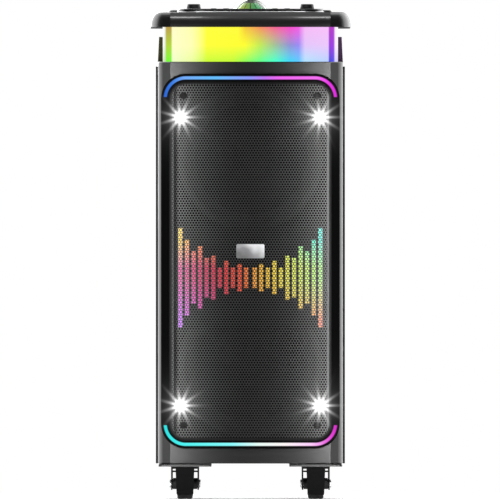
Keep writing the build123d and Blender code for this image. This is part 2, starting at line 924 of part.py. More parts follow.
def make_control_board():
    """Circuit board under the deck with four switches, and two encoders beside it."""
    with BuildPart() as board:
        with BuildSketch(Plane.XY.offset(board_z)):
            with Locations((0, button_y)):
                Rectangle(2 * (button_reach + window_side - loose), window_depth - 2 * loose)
        extrude(amount=board_thick)
        with BuildSketch(Plane.XY.offset(board_z + board_thick)):
            with Locations(*[(x, button_y) for x in button_xs]):
                Rectangle(switch_size, switch_size)
        extrude(amount=switch_height)
        for x in (-knob_x, knob_x):
            with BuildSketch(Plane.XY.offset(board_z - encoder_height)):
                with Locations((x, knob_y)):
                    Rectangle(encoder_size, encoder_size)
            extrude(amount=encoder_height)
            with BuildSketch(Plane.XY.offset(board_z)):
                with Locations((x, knob_y)):
                    Circle(shaft_radius)
            extrude(amount=knob_bottom + knob_height - knob_roof - 0.5 - board_z)
    return board.part


def make_knob(x):
    """Fluted control knob with a blind bore for the encoder's shaft."""
    with BuildPart() as knob:
        with BuildSketch(Plane.XY.offset(knob_bottom)):
            with Locations((x, knob_y)):
                Circle(knob_radius)
        with BuildSketch(Plane.XY.offset(knob_bottom + knob_height)):
            with Locations((x, knob_y)):
                Circle(knob_top_radius)
        loft()
        fillet(knob.faces().sort_by(Axis.Z)[-1].edges(), 1)
        with BuildSketch(Plane.XY.offset(knob_bottom)):
            with Locations((x, knob_y)):
                with PolarLocations(knob_radius + flute_outside, knob_flutes):
                    Circle(flute_radius)
        extrude(amount=knob_height, mode=Mode.SUBTRACT)
        with BuildSketch(Plane.XY.offset(knob_bottom)):
            with Locations((x, knob_y)):
                Circle(shaft_radius + running)
        extrude(amount=knob_height - knob_roof, mode=Mode.SUBTRACT)
    return knob.part


def make_button(x):
    """Push cap in its hole in the deck."""
    switch_top = board_z + board_thick + switch_height
    low = switch_top + button_travel + seat
    with BuildPart() as button:
        with BuildSketch(Plane.XY.offset(low)):
            with Locations((x, button_y)):
                Circle(button_radius)
        extrude(amount=deck_top + button_proud - low)
        fillet(button.faces().sort_by(Axis.Z)[-1].edges(), 0.5)
    return button.part


def make_dome():
    """Clear shell of a shallow spherical dome."""
    ball = (dome_radius**2 + dome_height**2) / (2 * dome_height)
    centre_z = deck_top + dome_height - ball
    with BuildPart() as dome:
        with Locations((0, dome_y, centre_z)):
            Sphere(ball)
            Sphere(ball - dome_wall, mode=Mode.SUBTRACT)
        split(bisect_by=Plane.XY.offset(deck_top), keep=Keep.TOP)
    return dome.part


def make_dome_core():
    """Turning lens drum inside the dome, on the motor's shaft."""
    height = dome_height - dome_wall - drum_gap
    with BuildPart() as core:
        with BuildSketch(Plane.XY.offset(deck_top + loose)):
            with Locations((0, dome_y)):
                Circle(dome_core_radius)
        extrude(amount=height - loose)
        fillet(core.faces().sort_by(Axis.Z)[-1].edges(), 1)
        with BuildSketch(Plane.XY.offset(deck_top + loose)):
            with Locations((0, dome_y)):
                Circle(motor_shaft + running)
        extrude(amount=motor_shaft_reach + 0.5, mode=Mode.SUBTRACT)
    return core.part


def make_motor():
    """Small motor under the lid's plate, whose shaft reaches up into the lens drum."""
    with BuildPart() as motor:
        with BuildSketch(Plane.XY.offset(board_z)):
            with Locations((0, dome_y)):
                Circle(motor_radius)
        extrude(amount=-motor_length)
        with BuildSketch(Plane.XY.offset(board_z)):
            with Locations((0, dome_y)):
                Circle(motor_shaft)
        extrude(amount=deck_top + motor_shaft_reach - board_z)
    return motor.part


save(make_deck(), "control_deck")
save(make_control_board(), "control_board")
save(make_knob(-knob_x), "knob_left")
save(make_knob(knob_x), "knob_right")
for name, x in zip(button_names, button_xs):
    save(make_button(x), name)
save(make_dome(), "dome_cover")
save(make_dome_core(), "dome_core")
save(make_motor(), "dome_motor")


# --- trolley handle ----------------------------------------------------------------
def make_sleeves():
    """Two guide sleeves fixed in the cabinet and the lid."""
    with BuildPart() as sleeves:
        with BuildSketch(Plane.XY.offset(sleeve_bottom)):
            with Locations((-handle_x, handle_y), (handle_x, handle_y)):
                Circle(sleeve_radius)
                Circle(tube_radius + running, mode=Mode.SUBTRACT)
        extrude(amount=sleeve_top - sleeve_bottom)
    return sleeves.part


def make_tubes():
    """Two tubes that slide in the sleeves."""
    with BuildPart() as tubes:
        with BuildSketch(Plane.XY.offset(sleeve_bottom)):
            with Locations((-handle_x, handle_y), (handle_x, handle_y)):
                Circle(tube_radius)
                Circle(tube_radius - tube_wall, mode=Mode.SUBTRACT)
        extrude(amount=grip_bottom - sleeve_bottom)
    return tubes.part


def make_grip():
    """Rounded bar across the tubes with a slot for its release button."""
    with BuildPart() as grip:
        with BuildSketch(Plane.XY.offset(grip_bottom)):
            with Locations((0, handle_y)):
                RectangleRounded(2 * grip_half_length, grip_depth, grip_depth / 2 - 0.1)
        extrude(amount=grip_height)
        fillet(grip.faces().sort_by(Axis.Z)[-1].edges(), grip_edge)
        with BuildSketch(Plane.XY.offset(deck_top)):
            with Locations((0, handle_y)):
                SlotOverall(release_length + 2 * loose, release_width + 2 * loose)
        extrude(amount=-release_pocket, mode=Mode.SUBTRACT)
    return grip.part


def make_release():
    """Release button in the top of the grip."""
    with BuildPart() as release:
        with BuildSketch(Plane.XY.offset(deck_top - release_pocket + release_travel + seat)):
            with Locations((0, handle_y)):
                SlotOverall(release_length, release_width)
        extrude(amount=release_pocket - release_travel - 2 * seat)
        fillet(release.faces().sort_by(Axis.Z)[-1].edges(), 0.6)
    return release.part


save(make_sleeves(), "handle_sleeves")
save(make_tubes(), "handle_tubes")
save(make_grip(), "handle_grip")
save(make_release(), "handle_release")


# --- rear panel, electronics and battery ---------------------------------------------
def make_rear_panel():
    """Metal panel with the sockets, on the rear cover."""
    with BuildPart() as panel:
        with BuildSketch(front_plane(panel_face)):
            with Locations((0, panel_top - panel_height / 2)):
                RectangleRounded(2 * panel_half_width, panel_height, panel_corner)
            with Locations(*jack_spots):
                Circle(jack_barrel_radius + seat, mode=Mode.SUBTRACT)
            with Locations((0, inlet_z)):
                Rectangle(inlet_width + 2 * seat, inlet_height + 2 * seat, mode=Mode.SUBTRACT)
            with Locations((0, rocker_z)):
                Rectangle(rocker_width + 2 * loose, rocker_length + 5 * loose, mode=Mode.SUBTRACT)
        extrude(amount=panel_thick)
    return panel.part


def make_jacks():
    """Three socket barrels, flush with the panel, open to the back."""
    with BuildPart() as jacks:
        with BuildSketch(front_plane(socket_face)):
            with Locations(*jack_spots):
                Circle(jack_barrel_radius)
        extrude(amount=jack_length + jack_floor)
        with BuildSketch(front_plane(socket_face)):
            with Locations(*jack_spots):
                Circle(jack_radius)
        extrude(amount=jack_length, mode=Mode.SUBTRACT)
    return jacks.part


def make_inlet():
    """Power inlet shell with two contact pins."""
    with BuildPart() as inlet:
        with BuildSketch(front_plane(socket_face)):
            with Locations((0, inlet_z)):
                Rectangle(inlet_width, inlet_height)
        extrude(amount=inlet_length)
        with BuildSketch(front_plane(socket_face)):
            with Locations((0, inlet_z)):
                Rectangle(inlet_width - 2 * inlet_wall, inlet_mouth_height)
        extrude(amount=inlet_length - inlet_wall, mode=Mode.SUBTRACT)
        with BuildSketch(front_plane(panel_face - inlet_pin_depth)):
            with Locations((-inlet_pin_x, inlet_z), (inlet_pin_x, inlet_z)):
                Circle(inlet_pin_radius)
        extrude(amount=inlet_length - inlet_wall - inlet_pin_depth)
    return inlet.part


def make_rocker():
    """Rocker of the power switch, at rest in its off position."""
    lean = radians(rocker_angle)
    half = rocker_length / 2
    pivot = (-rocker_width / 2, panel_face - rocker_pivot, rocker_z)
    with BuildPart() as rocker:
        with BuildSketch(Plane(origin=pivot, x_dir=(0, cos(lean), sin(lean)), z_dir=(1, 0, 0))):
            with BuildLine():
                Polyline(
                    (1, -half),
                    (rocker_pivot + 1.4, -half),
                    (rocker_pivot + 0.4, 0),
                    (rocker_pivot + 1.4, half),
                    (1, half),
                    (-rocker_thick, half / 2),
                    (-rocker_thick, -half / 2),
                    close=True,
                )
            make_face()
        extrude(amount=rocker_width)
    return rocker.part


def make_amplifier():
    """Amplifier board on the cover's posts, with a finned heat sink."""
    board_back = body_half_depth - post_length
    sink_face = board_back - board_thick
    sink_z = panel_top - sink_drop
    with BuildPart() as amplifier:
        with BuildSketch(front_plane(board_back)):
            with Locations((0, panel_top - amplifier_drop)):
                Rectangle(amplifier_width, amplifier_height)
        extrude(amount=board_thick)
        with BuildSketch(front_plane(sink_face)):
            with Locations((0, sink_z)):
                Rectangle(sink_width, sink_height)
        extrude(amount=sink_base)
        with BuildSketch(front_plane(sink_face - sink_base)):
            with GridLocations(sink_fin_pitch, 1, sink_fins, 1):
                with Locations((0, sink_z)):
                    Rectangle(sink_fin_thick, sink_height)
        extrude(amount=sink_fin_depth)
    return amplifier.part


def make_box_on_floor(size, back):
    """A plain case on the cabinet's floor, with its back at a given depth."""
    width, depth, height = size
    return box_between((-width / 2, back - depth, cavity_bottom), (width / 2, back, cavity_bottom + height))


supply_back = body_half_depth - supply_from_back
battery_back = supply_back - supply_size[1] - battery_gap
save(make_rear_panel(), "rear_panel")
save(make_jacks(), "jack_sockets")
save(make_inlet(), "power_inlet")
save(make_rocker(), "power_rocker")
save(make_amplifier(), "amplifier_board")
save(make_box_on_floor(battery_size, battery_back), "battery_pack")
save(make_box_on_floor(supply_size, supply_back), "power_supply")


# --- casters ---------------------------------------------------------------------------
def make_caster_plates():
    """Four mounting plates, each with a raised pad on the cabinet's floor and a bore for the king pin."""
    plate_low = fork_top + swivel_gap
    with BuildPart() as plates:
        for side, end in caster_spots:
            spot = (side * caster_x, end * caster_y)
            with BuildSketch(Plane.XY.offset(plate_low)):
                with Locations(spot):
                    RectangleRounded(plate_size, plate_size, plate_corner)
            extrude(amount=plate_thick)
            with BuildSketch(Plane.XY.offset(plate_low + plate_thick)):
                with Locations(spot):
                    RectangleRounded(pad_size, pad_size, plate_corner)
            extrude(amount=pad_height)
            with BuildSketch(Plane.XY.offset(plate_low)):
                with Locations(spot):
                    Circle(pin_radius + running)
            extrude(amount=plate_thick + pin_reach + pin_end_gap, mode=Mode.SUBTRACT)
    return plates.part


def make_fork(x, y, braked):
    """Pressed fork: top plate with the king pin, and two legs down to the axle."""
    under = fork_top - fork_plate
    nose = lever_pin_y - 5 if braked else -fork_nose
    leg_points = [
        (fork_back, fork_top),
        (nose, fork_top),
        (nose, lever_pin_z - 5),
        (-trail - 9, wheel_radius - 2),
        (-trail - 6, wheel_radius - 10.3),
        (-trail + 2, wheel_radius - 7.3),
        (-trail + 9, wheel_radius),
    ]
    leg_points = [(y + dy, z) for dy, z in leg_points]
    with BuildPart() as fork:
        for side in (-1, 1):
            leg_plane = Plane(
                origin=(x + side * leg_outer, 0, 0), x_dir=(0, 1, 0), z_dir=(1, 0, 0)
            )
            with BuildSketch(leg_plane):
                with BuildLine():
                    Polyline(*leg_points, close=True)
                make_face()
            extrude(amount=-side * leg_thick)
        with BuildSketch(Plane.XY.offset(under)):
            with Locations((x, y + (fork_back + nose) / 2)):
                Rectangle(2 * leg_outer, fork_back - nose)
        extrude(amount=fork_plate)
        with BuildSketch(Plane.XY.offset(fork_top)):
            with Locations((x, y)):
                Circle(pin_radius)
        extrude(amount=swivel_gap + plate_thick + pin_reach)
        cross = Plane(origin=(x - 2 * leg_outer, y, 0), x_dir=(0, 1, 0), z_dir=(1, 0, 0))
        with BuildSketch(cross):
            with Locations((-trail, wheel_radius)):
                Circle(axle_radius + seat)
            if braked:
                with Locations((lever_pin_y, lever_pin_z)):
                    Circle(lever_pin_radius + running)
        extrude(amount=4 * leg_outer, mode=Mode.SUBTRACT)
    return fork.part


def make_axle(x, y):
    """Axle bolt with a head at each end."""
    centre_y = y - trail
    half = leg_outer + bolt_head
    with BuildPart() as axle:
        with BuildSketch(Plane(origin=(x - leg_outer, centre_y, wheel_radius), z_dir=(1, 0, 0))):
            Circle(axle_radius)
        extrude(amount=2 * leg_outer)
        for side in (-1, 1):
            head_plane = Plane(origin=(x + side * leg_outer, centre_y, wheel_radius), z_dir=(side, 0, 0))
            with BuildSketch(head_plane):
                RegularPolygon(bolt_radius, 6)
            extrude(amount=half - leg_outer)
    return axle.part


def make_wheel(x, y):
    """Moulded wheel with a rounded tread, dished sides and a hub that fills the fork."""
    centre_y = y - trail
    hub_half = leg_outer - leg_thick - hub_gap
    wheel_plane = Plane(origin=(x - wheel_width / 2, centre_y, wheel_radius), z_dir=(1, 0, 0))
    with BuildPart() as wheel:
        with BuildSketch(wheel_plane):
            Circle(wheel_radius)
        extrude(amount=wheel_width)
        fillet(wheel.edges(), wheel_round)
        with BuildSketch(wheel_plane, wheel_plane.offset(wheel_width)):
            Circle(wheel_radius - wheel_rim)
        extrude(amount=wheel_dish, both=True, mode=Mode.SUBTRACT)
        with BuildSketch(wheel_plane.offset(wheel_width / 2)):
            Circle(hub_radius)
        extrude(amount=hub_half, both=True)
        with BuildSketch(wheel_plane.offset(wheel_width / 2)):
            Circle(axle_radius + running)
        extrude(amount=hub_half, both=True, mode=Mode.SUBTRACT)
    return wheel.part


def make_lever(x, y):
    """Brake lever in front of the wheel, hung on a pin between the fork's legs."""
    inner = y + lever_face
    outer = inner - lever_thick
    pin_y = y + lever_pin_y
    barrel = lever_barrel
    side_plane = Plane(origin=(x - leg_outer, 0, 0), x_dir=(0, 1, 0), z_dir=(1, 0, 0))
    span = 2 * leg_outer
    with BuildPart() as lever:
        with BuildSketch(side_plane):
            with BuildLine():
                Polyline(
                    (outer, lever_low),
                    (inner, lever_low),
                    (inner, lever_pin_z - barrel - 3),
                    (pin_y, lever_pin_z - barrel + 0.5),
                    (pin_y, lever_pin_z + barrel - 0.5),
                    (inner, lever_pin_z + 1),
                    (inner, fork_top - lever_top_gap),
                    (outer, fork_top - lever_top_gap),
                    close=True,
                )
            make_face()
            with Locations((pin_y, lever_pin_z)):
                Circle(barrel)
        extrude(amount=span)
        with BuildSketch(Plane(origin=(0, pin_y + barrel, 0), x_dir=(1, 0, 0), z_dir=(0, -1, 0))):
            with BuildLine():
                Polyline(
                    (x - lever_top_width / 2, fork_top),
                    (x + lever_top_width / 2, fork_top),
                    (x + lever_low_width / 2, lever_low),
                    (x - lever_low_width / 2, lever_low),
                    close=True,
                )
            make_face()
        extrude(amount=3 * barrel + lever_thick, mode=Mode.INTERSECT)
        with BuildSketch(side_plane):
            with Locations((pin_y, lever_pin_z)):
                Circle(lever_pin_radius)
        extrude(amount=span)
    return lever.part


save(make_caster_plates(), "caster_plates")
for name, (side, end) in zip(caster_names, caster_spots):
    x = side * caster_x
    y = end * caster_y
    braked = end < 0
    save(make_fork(x, y, braked), f"fork_{name}")
    save(make_axle(x, y), f"axle_{name}")
    save(make_wheel(x, y), f"wheel_{name}")
    if braked:
        save(make_lever(x, y), f"brake_lever_{name}")
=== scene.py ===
import math

import bmesh
import bpy
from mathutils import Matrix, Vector


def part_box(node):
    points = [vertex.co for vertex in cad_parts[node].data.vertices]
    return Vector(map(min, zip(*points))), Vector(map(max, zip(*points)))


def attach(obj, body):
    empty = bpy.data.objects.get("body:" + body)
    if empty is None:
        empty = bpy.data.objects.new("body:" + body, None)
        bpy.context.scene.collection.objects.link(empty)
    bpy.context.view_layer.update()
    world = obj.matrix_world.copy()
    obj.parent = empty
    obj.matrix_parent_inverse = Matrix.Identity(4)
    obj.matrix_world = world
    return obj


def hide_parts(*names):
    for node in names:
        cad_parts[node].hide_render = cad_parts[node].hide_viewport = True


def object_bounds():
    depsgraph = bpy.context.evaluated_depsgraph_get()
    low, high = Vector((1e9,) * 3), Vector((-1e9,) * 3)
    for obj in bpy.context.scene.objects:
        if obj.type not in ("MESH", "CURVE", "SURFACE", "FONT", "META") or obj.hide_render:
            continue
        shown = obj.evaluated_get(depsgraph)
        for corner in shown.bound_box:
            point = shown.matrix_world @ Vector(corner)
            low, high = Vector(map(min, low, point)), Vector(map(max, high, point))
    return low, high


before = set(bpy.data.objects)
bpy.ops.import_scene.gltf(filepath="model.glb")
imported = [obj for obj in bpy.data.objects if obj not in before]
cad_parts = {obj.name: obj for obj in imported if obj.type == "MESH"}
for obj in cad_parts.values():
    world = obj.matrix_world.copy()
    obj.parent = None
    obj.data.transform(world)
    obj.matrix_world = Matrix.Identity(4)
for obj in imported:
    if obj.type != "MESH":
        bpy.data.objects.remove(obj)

cad_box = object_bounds()
foot, crown = (Vector(corner) for corner in cad_box)
tall = crown.z
scene = bpy.context.scene

# --- Studio ---------------------------------------------------------------------------
# A pale floor in a white studio, a tall strip softbox on each side close to the front, two
# small ones above it, a large one behind and bright side walls, which light the round edges.
# The camera is level and far away, so that the tower is seen almost without depth.
camera_distance = 40.0
frame_height = 0.898
sensor = 0.036
camera_data = bpy.data.cameras.new("camera")
camera_data.sensor_width = 1000 * sensor
camera_data.lens = 1000 * sensor * (camera_distance + foot.y) / frame_height
camera_data.clip_end = 100
camera = bpy.data.objects.new("camera", camera_data)
camera.location = (-0.0007, -camera_distance, tall / 2 - 0.0023)
camera.rotation_euler = (math.pi / 2, 0, 0)
scene.collection.objects.link(camera)
scene.camera = camera


def softbox(name, place, target, width, height, watts):
    """A rectangular lamp that shows in reflections but not to the camera."""
    lamp_data = bpy.data.lights.new(name, "AREA")
    lamp_data.shape = "RECTANGLE"
    lamp_data.size = width
    lamp_data.size_y = height
    lamp_data.energy = watts
    lamp = bpy.data.objects.new(name, lamp_data)
    lamp.location = place
    aim = Vector(target) - Vector(place)
    lamp.rotation_euler = aim.to_track_quat("-Z", "Y").to_euler()
    lamp.visible_camera = False
    scene.collection.objects.link(lamp)
    return lamp


for side in (-1, 1):
    strip_place = (side * 0.175, -0.50, 0.44)
    softbox("strip_softbox", strip_place, (side * 0.16, -0.16, 0.44), 0.05, 0.78, 3.1 + 0.25 * side)
    softbox("brow_softbox", (side * 0.15, -0.41, 1.20), (side * 0.11, -0.15, 0.87), 0.13, 0.06, 0.35)
softbox("rear_softbox", (-0.5, 1.5, 1.1), (0, 0.16, 0.5), 0.7, 1.3, 16.0)


class Value:
    """An output socket that can be used in sums: each operator adds one Math node."""

    def __init__(self, paint, socket):
        self.paint = paint
        self.socket = socket

    def math(self, operation, *terms):
        return self.paint.node("ShaderNodeMath", {"operation": operation}, dict(enumerate(terms)))

    def __add__(self, other):
        return self.math("ADD", self, other)

    def __radd__(self, other):
        return self.math("ADD", other, self)

    def __sub__(self, other):
        return self.math("SUBTRACT", self, other)

    def __rsub__(self, other):
        return self.math("SUBTRACT", other, self)

    def __mul__(self, other):
        return self.math("MULTIPLY", self, other)

    def __rmul__(self, other):
        return self.math("MULTIPLY", other, self)

    def __truediv__(self, other):
        return self.math("DIVIDE", self, other)

    def __abs__(self):
        return self.math("ABSOLUTE", self)

    def at_least(self, low):
        return self.math("MAXIMUM", self, low)

    def root(self):
        return self.math("SQRT", self)


class Paint:
    """A node tree being painted: the only way here to add a node and to join it up."""

    def __init__(self, owner):
        owner.use_nodes = True
        self.tree = owner.node_tree

    def node(self, kind, settings=None, sockets=None, out=0):
        """Adds a node: its settings first, then its sockets' values or links."""
        made = self.tree.nodes.new(kind)
        for key, setting in (settings or {}).items():
            if key == "stops":
                ramp = made.color_ramp
                while len(ramp.elements) < len(setting):
                    ramp.elements.new(1)
                for element, (position, colour) in zip(ramp.elements, setting):
                    element.position = position
                    element.color = (*colour, 1)
            else:
                setattr(made, key, setting)
        self.join(made, sockets or {})
        return Value(self, made.outputs[out])

    def join(self, made, sockets):
        for key, value in sockets.items():
            if isinstance(value, Value):
                self.tree.links.new(value.socket, made.inputs[key])
            else:
                made.inputs[key].default_value = value

    def axes(self):
        """The three coordinates of a point of the piece at rest."""
        place = self.node("ShaderNodeTexCoord", out="Object")
        split = self.node("ShaderNodeSeparateXYZ", None, {0: place}).socket.node
        return [Value(self, split.outputs[i]) for i in range(3)]

    def noise(self, scale, detail=2.0, stretch=(1, 1, 1)):
        """Noise from 0 to 1 over the piece, so many waves to a metre along each axis."""
        place = self.node("ShaderNodeTexCoord", out="Object")
        spread = self.node("ShaderNodeMapping", None, {"Vector": place, "Scale": stretch})
        return self.node("ShaderNodeTexNoise", None, {"Vector": spread, "Scale": scale, "Detail": detail})

    def ramp(self, factor, stops, how="LINEAR"):
        ramp = self.node("ShaderNodeValToRGB", {"stops": stops}, {0: factor})
        ramp.socket.node.color_ramp.interpolation = how
        return ramp

    def mix(self, factor, first, second):
        """A colour between two colours."""
        blend = self.node("ShaderNodeMix", {"data_type": "RGBA"}, out=2)
        opaque = [(*c, 1) if isinstance(c, tuple) and len(c) == 3 else c for c in (first, second)]
        self.join(blend.socket.node, {0: factor, 6: opaque[0], 7: opaque[1]})
        return blend


def linear(red, green, blue):
    """A screen colour from 0 to 255 as the light it stands for."""
    shares = [c / 255 for c in (red, green, blue)]
    return tuple(c / 12.92 if c < 0.0405 else ((c + 0.055) / 1.055) ** 2.4 for c in shares)


class Finish(Paint):
    """A surface: one main shader with fixed values, and what varies over it."""

    def __init__(self, name, **fixed):
        self.material = bpy.data.materials.new(name)
        super().__init__(self.material)
        self.shader = self.tree.nodes["Principled BSDF"]
        for key, value in fixed.items():
            socket = self.shader.inputs[key.replace("_", " ")]
            socket.default_value = (*value, 1) if isinstance(value, tuple) else value

    def feed(self, **varying):
        self.join(self.shader, {key.replace("_", " "): value for key, value in varying.items()})
        return self

    def bump(self, height, distance, strength=0.5):
        """Fine relief, so many metres deep."""
        relief = self.node(
            "ShaderNodeBump", None, {"Strength": strength, "Distance": distance, "Height": height}
        )
        return self.feed(Normal=relief)


world = bpy.data.worlds.new("studio")
scene.world = world
sky = Paint(world)
direction = sky.node("ShaderNodeTexCoord", out="Generated")
toward = sky.node("ShaderNodeSeparateXYZ", None, {0: direction}).socket.node
sky_x, sky_y, sky_z = (Value(sky, output) for output in toward.outputs)
behind = sky.ramp(sky_y * 0.5 + 0.5, [(0.52, (0, 0, 0)), (0.66, (1, 1, 1))])
aside = sky.ramp(abs(sky_x), [(0.10, (0, 0, 0)), (0.45, (1, 1, 1))])
overhead = sky.ramp(sky_z, [(0.60, (0, 0, 0)), (0.95, (0.25, 0.25, 0.25))])
side_walls = sky.mix(aside, (0.03, 0.03, 0.03), sky.mix(behind, (0.012, 0.012, 0.012), (0.95, 0.95, 0.96)))
room = sky.mix(overhead, side_walls, (1, 1, 1))
seen = sky.node("ShaderNodeLightPath", out="Is Camera Ray")
backdrop = {"Color": sky.mix(seen, room, (1, 1, 1)), "Strength": 3.0 - seen * 2.0}
sky.join(sky.tree.nodes["Background"], backdrop)

floor_finish = Finish("pale_floor", Roughness=0.6, Emission_Color=(1.0, 1.0, 1.0), Emission_Strength=0.3)
mottle = floor_finish.noise(3.0)
floor_finish.feed(Base_Color=floor_finish.mix(mottle, (0.80, 0.80, 0.80), (0.84, 0.84, 0.84)))
floor_mesh = bpy.data.meshes.new("floor")
reach = 0.7
floor_mesh.from_pydata(
    [(-reach, -reach, 0), (reach, -reach, 0), (reach, reach, 0), (-reach, reach, 0)], [], [(0, 1, 2, 3)]
)
floor = bpy.data.objects.new("floor", floor_mesh)
floor_mesh.materials.append(floor_finish.material)
scene.collection.objects.link(floor)
scene.view_settings.view_transform = "Standard"


# --- Cabinet shell, rear cover, side strips and fins ----------------------------------
# Injection moulded shell in satin black with a very fine spark texture. The rear cover is
# screwed on, the soft side strips are glued on and the fins stand beside the light band.
def coat(node, finish, smooth=0.6):
    """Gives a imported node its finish, and smooth shading except at its real edges."""
    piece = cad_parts[node]
    piece.data.materials.clear()
    piece.data.materials.append(finish.material)
    piece.data.shade_smooth()
    piece.data.set_sharp_from_angle(angle=smooth)


def moulded(name, tone, rough, grain=0.00002, shine=0.5):
    """Satin moulded plastic: a fine spark texture, and a little unevenness in its gloss."""
    finish = Finish(name, Base_Color=(tone, tone, tone * 1.04), Roughness=rough, Specular_IOR_Level=shine)
    fine = finish.noise(2200.0, 1.0)
    broad = finish.noise(9.0, 3.0)
    darker = (tone * 0.9, tone * 0.9, tone * 0.93)
    lighter = (tone * 1.1, tone * 1.1, tone * 1.15)
    finish.feed(Roughness=rough - 0.04 + broad * 0.08, Base_Color=finish.mix(broad, darker, lighter))
    return finish.bump(fine, grain, 0.15)


satin_black = moulded("satin_black", 0.0015, 0.29)
soft_black = moulded("soft_black", 0.001, 0.62, shine=0.12)
coat("cabinet_shell", satin_black)
coat("rear_cover", moulded("grained_black", 0.006, 0.5, 0.00008))
coat("side_trims", soft_black)


def gloss(name, tone, rough=0.12):
    """Glossy lacquered plastic with faint orange peel."""
    finish = Finish(name, Base_Color=(tone,) * 3, Roughness=rough, Coat_Weight=0.4, Coat_Roughness=0.08)
    peel = finish.noise(260.0, 1.0)
    dust = finish.noise(40.0, 4.0)
    finish.feed(Roughness=rough + dust * 0.05)
    return finish.bump(peel, 0.00002, 0.25)


fin_black = moulded("fin_black", 0.004, 0.6, shine=0.15)
fin_x, fin_y, _ = fin_black.axes()
# Painted light: the fins' fronts are tinted olive on the left and violet on the right, fading to black towards
# the back, standing in for the light band's glow falling on them.
painted_band_glow = fin_black.ramp(fin_x + 0.5, [(0.45, (0.030, 0.030, 0.004)), (0.55, (0.040, 0.014, 0.050))])
painted_glow_falloff = fin_black.ramp((fin_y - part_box("side_fins")[0][1]) / 0.010, [(0.2, (0, 0, 0)), (0.8, (1, 1, 1))])
fin_black.feed(Base_Color=fin_black.mix(painted_glow_falloff, painted_band_glow, (0.004, 0.004, 0.004)))
coat("side_fins", fin_black)

# --- Bezel frame and light guides -----------------------------------------------------
# Black frame round the grille with a groove in its face. Two clear guides lie in it, lit
# from their ends: the upper one blue to violet to pink, the lower one cyan to white to pink.
coat("bezel_frame", moulded("bezel_black", 0.0004, 0.6, shine=0.015))


guide_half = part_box("light_guide_top")[1][0]
guide_width = 0.0063
guide_corner = 0.037
loop_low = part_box("light_guide_bottom")[0][2] + guide_width / 2
loop_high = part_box("light_guide_top")[1][2] - guide_width / 2


def guide_finish(name, stops, lit_edge, lit_way):
    """Glow along the guide: bright along its middle line, and gone at the end of each leg."""
    finish = Finish(
        name, Base_Color=(0.004, 0.004, 0.004), Roughness=0.3, Specular_IOR_Level=0.0, Emission_Strength=1.0
    )
    x, _, z = finish.axes()
    over_x = (abs(x) - (guide_half - guide_width / 2 - guide_corner)).at_least(0)
    over_z = (abs(z - (loop_low + loop_high) / 2) - ((loop_high - loop_low) / 2 - guide_corner)).at_least(0)
    off_line = abs((over_x * over_x + over_z * over_z).root() - guide_corner) / (guide_width / 2)
    core = finish.ramp(off_line, [(0.55, (1, 1, 1)), (0.90, (0.55, 0.55, 0.55)), (1.0, (0.25, 0.25, 0.25))])
    glow = finish.ramp(x / (2 * guide_half) + 0.5, stops)
    fade = finish.ramp((z - lit_edge) * lit_way / 0.0015, [(0.0, (0, 0, 0)), (1.0, (1, 1, 1))])
    lit = finish.mix(fade, (0, 0, 0), glow)
    return finish.feed(Emission_Color=finish.mix(core, (0, 0, 0), lit))


top_stops = [
    (0.00, linear(24, 96, 215)),
    (0.05, linear(50, 122, 225)),
    (0.12, linear(112, 170, 248)),
    (0.30, linear(98, 190, 252)),
    (0.50, linear(140, 150, 250)),
    (0.58, linear(190, 115, 242)),
    (0.66, linear(240, 100, 242)),
    (0.88, linear(246, 110, 243)),
    (0.95, linear(232, 50, 230)),
    (1.00, linear(214, 20, 214)),
]
low_stops = [
    (0.00, linear(20, 225, 225)),
    (0.08, linear(60, 238, 236)),
    (0.25, linear(105, 248, 246)),
    (0.40, linear(140, 252, 253)),
    (0.55, linear(235, 255, 248)),
    (0.70, linear(255, 248, 248)),
    (0.85, linear(255, 205, 252)),
    (0.92, linear(236, 120, 228)),
    (0.97, linear(226, 50, 212)),
    (1.00, linear(214, 24, 200)),
]
coat("light_guide_top", guide_finish("guide_glow_top", top_stops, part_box("light_guide_top")[0][2], 1))
coat("light_guide_bottom", guide_finish("guide_glow_low", low_stops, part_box("light_guide_bottom")[1][2], -1))


# --- Perforated grille ----------------------------------------------------------------
# Steel sheet pan punched with round holes on a 5 mm staggered pitch, powder coated black, with
# painted shade darkening its left edge. A plain rim runs round it and folds back to the cabinet.
def new_piece(name, mesh, body, finish=None):
    """Adds a mesh as a piece that rides on a body."""
    piece = bpy.data.objects.new(name, mesh)
    scene.collection.objects.link(piece)
    if finish:
        mesh.materials.append(finish.material)
    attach(piece, body)
    return piece


def rounded_outline(half_width, low, high, radius, steps=10):
    """Points round a rounded rectangle in X and Z, anticlockwise from the lower right corner."""
    corners = (
        (half_width - radius, low + radius, -90),
        (half_width - radius, high - radius, 0),
        (radius - half_width, high - radius, 90),
        (radius - half_width, low + radius, 180),
    )
    points = []
    for x, z, start in corners:
        for step in range(steps + 1):
            turn = math.radians(start + 90 * step / steps)
            points.append((x + radius * math.cos(turn), z + radius * math.sin(turn)))
    return points


def inside_rounded(x, z, half_width, low, high, radius):
    """How far inside a rounded rectangle a point lies; negative outside."""
    dx = abs(x) - (half_width - radius)
    dz = abs(z - (low + high) / 2) - ((high - low) / 2 - radius)
    outside = math.hypot(max(dx, 0), max(dz, 0))
    return radius - outside - min(max(dx, dz), 0)


grille_low, grille_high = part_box("grille_panel")
grille_face = grille_low[1]
grille_half = grille_high[0]
sheet = 0.0012
pitch = 0.005
row_rise = pitch * math.sqrt(3) / 2
hole_radius = 0.0020
grille_corner = 0.0311
rim_width = 0.0045
lamp_holes = []
strobe_radius = 0.0090
for node, radius, room in (("grille_screws", 0.0063, 0.0058), ("strobe_lamps", strobe_radius, 0.0095)):
    low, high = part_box(node)
    lamp_holes += [
        (x, z, room)
        for x in (low[0] + radius, high[0] - radius)
        for z in (low[2] + radius, high[2] - radius)
    ]


